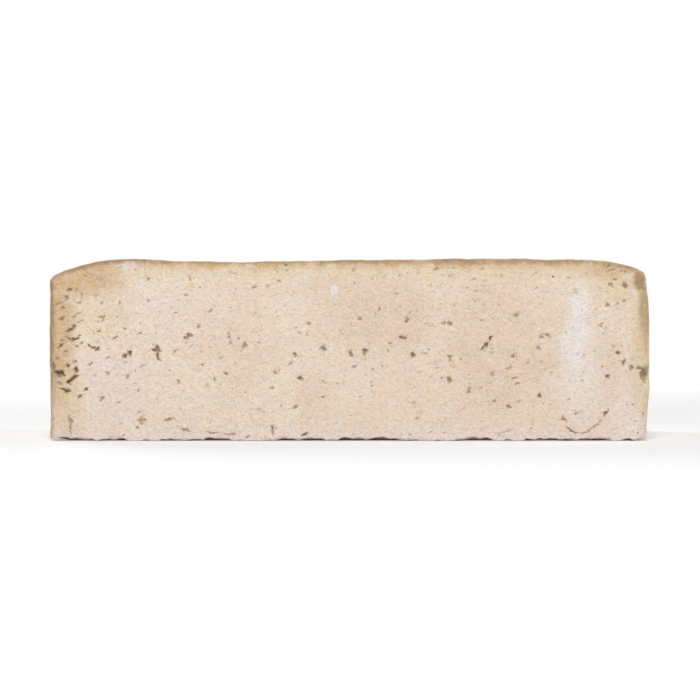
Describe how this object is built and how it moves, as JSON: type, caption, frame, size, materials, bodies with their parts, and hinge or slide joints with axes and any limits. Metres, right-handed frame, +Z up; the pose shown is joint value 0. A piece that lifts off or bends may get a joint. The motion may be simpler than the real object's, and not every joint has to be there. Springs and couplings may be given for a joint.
{
  "type": "facing brick",
  "caption": "Solid moulded facing brick with a crowned upper bed that falls away at both headers, rounded arrises and a pitted pale face.",
  "frame": {"origin": "middle of the lower bed, on the plane that the brick rests on", "axes": "+X along the length towards the right header, +Y from the shown stretcher face to the back one, +Z up through the beds"},
  "size_m": [0.215, 0.1024, 0.065],
  "materials": {
    "fired_clay": "matt pale cream clay with ochre arrises, unglazed and open pored"
  },
  "bodies": {
    "root": {"brick": "fired_clay"}
  },
  "joints": []
}
